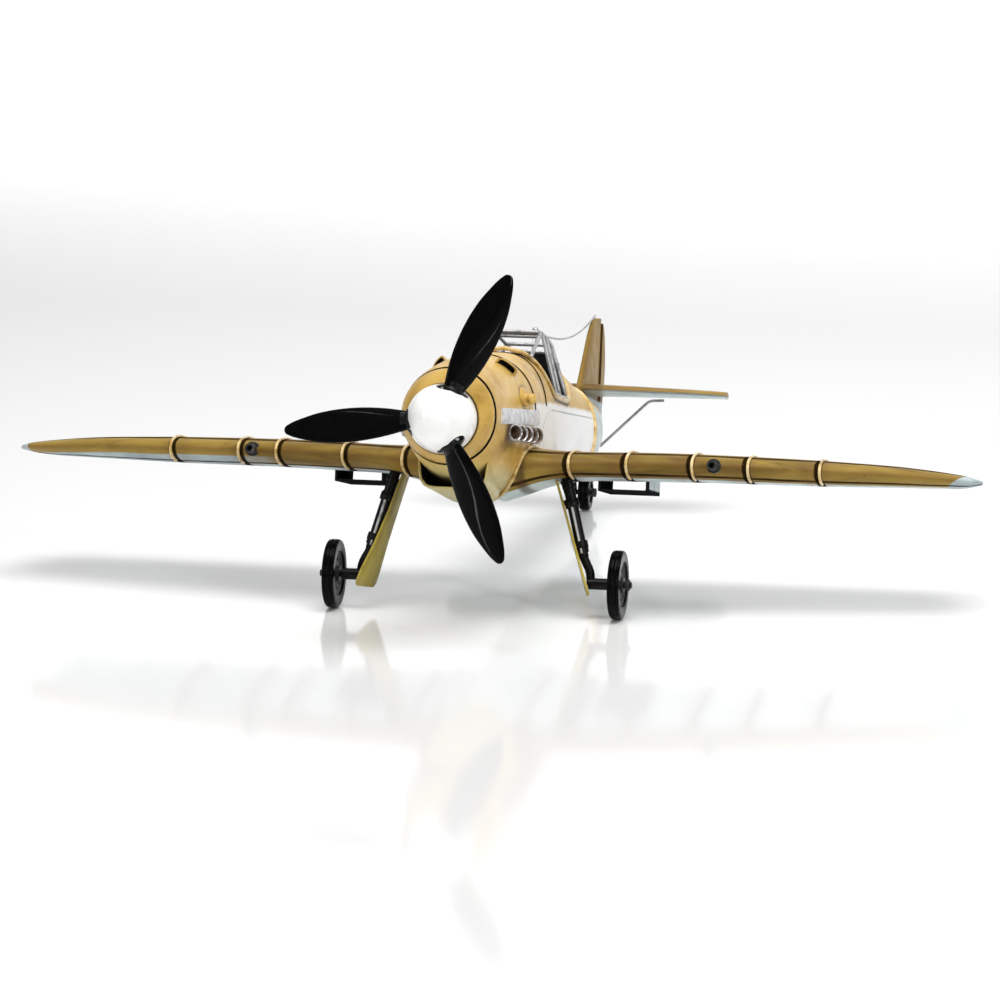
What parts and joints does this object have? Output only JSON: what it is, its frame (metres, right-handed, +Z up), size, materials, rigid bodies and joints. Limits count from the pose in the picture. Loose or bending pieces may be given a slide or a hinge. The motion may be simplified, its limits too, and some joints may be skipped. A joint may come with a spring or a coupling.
{
  "type": "propeller plane model",
  "caption": "Sheet-metal model of a single-engine low-wing fighter with a free-turning propeller, open wire canopy and fixed undercarriage on rolling wheels.",
  "frame": {"origin": "centre of the footprint of the whole model, on the ground under its three wheels", "axes": "+Z up, the nose points to -Y, the port (left) wing to +X; the model stands tail down on its wheels"},
  "size_m": [0.45, 0.4399, 0.1652],
  "materials": {
    "tan_paint": "satin sand paint, darkened along edges and seams",
    "pale_blue_paint": "satin pale blue-grey paint",
    "white_paint": "glossy white paint",
    "silver_paint": "dimpled silver paint with soot",
    "steel_wire": "soldered bright steel wire",
    "brass": "turned",
    "black_paint": "satin black",
    "gloss_black": "glossy black",
    "dark_iron": "dark, slightly worn",
    "seat_leather": "matte brown",
    "black_rubber": "satin"
  },
  "bodies": {
    "airframe": {"nose_bowl": "tan_paint", "nose_former": "black_paint", "shaft_bushing": "brass", "engine_cowl": "tan_paint", "cockpit_section": "tan_paint", "rear_fuselage": "tan_paint", "tail_cone": "pale_blue_paint", "tail_joint_band": "tan_paint", "cowl_seams": "tan_paint", "cockpit_coaming": "tan_paint", "gun_troughs": "tan_paint", "cowl_blisters": "tan_paint", "exhaust_shields": "silver_paint", "exhaust_stubs": "silver_paint", "chin_scoop": "tan_paint", "windscreen_frame": "steel_wire", "canopy_hoops": "steel_wire", "canopy_rails": "steel_wire", "aerial_mast": "steel_wire", "aerial_wire": "steel_wire", "cockpit_floor": "black_paint", "instrument_panel": "black_paint", "rear_bulkhead": "black_paint", "pilot_seat": "seat_leather", "control_stick": "dark_iron", "wing_root_port": "tan_paint", "wing_root_starboard": "tan_paint", "wing_port": "tan_paint", "wing_starboard": "tan_paint", "wing_spar": "steel_wire", "rib_wires_port": "tan_paint", "rib_wires_starboard": "tan_paint", "root_fillet_wires": "tan_paint", "wing_guns": "dark_iron", "radiator_port": "pale_blue_paint", "radiator_starboard": "pale_blue_paint", "fin": "tan_paint", "rudder": "tan_paint", "tailplane": "tan_paint", "tailplane_braces": "steel_wire", "gear_legs": "black_paint", "gear_pistons": "steel_wire", "gear_doors": "tan_paint", "gear_brackets": "black_paint", "main_axles": "dark_iron", "tail_wheel_leg": "black_paint", "axle_nuts": "steel_wire"},
    "propeller": {"propeller_blades": "gloss_black", "propeller_hub": "dark_iron", "spinner": "white_paint", "spinner_backplate": "white_paint", "propeller_shaft": "steel_wire", "shaft_collar": "steel_wire"},
    "wheel_port": {"tyre_port": "black_rubber", "hub_port": "dark_iron"},
    "wheel_starboard": {"tyre_starboard": "black_rubber", "hub_starboard": "dark_iron"},
    "tail_wheel": {"tail_tyre": "black_rubber", "tail_hub": "dark_iron"}
  },
  "joints": [
    {"name": "propeller_spin", "type": "hinge", "parent": "airframe", "child": "propeller", "pos_m": [0, -0.19828, 0.10101], "axis": [0, -0.9789, 0.2045], "continuous": true},
    {"name": "wheel_port_spin", "type": "hinge", "parent": "airframe", "child": "wheel_port", "pos_m": [0.0657, -0.11924, 0.01575], "axis": [1, 0, 0], "continuous": true},
    {"name": "wheel_starboard_spin", "type": "hinge", "parent": "airframe", "child": "wheel_starboard", "pos_m": [-0.0657, -0.11924, 0.01575], "axis": [1, 0, 0], "continuous": true},
    {"name": "tail_wheel_spin", "type": "hinge", "parent": "airframe", "child": "tail_wheel", "pos_m": [0, 0.17275, 0.009], "axis": [1, 0, 0], "continuous": true}
  ]
}
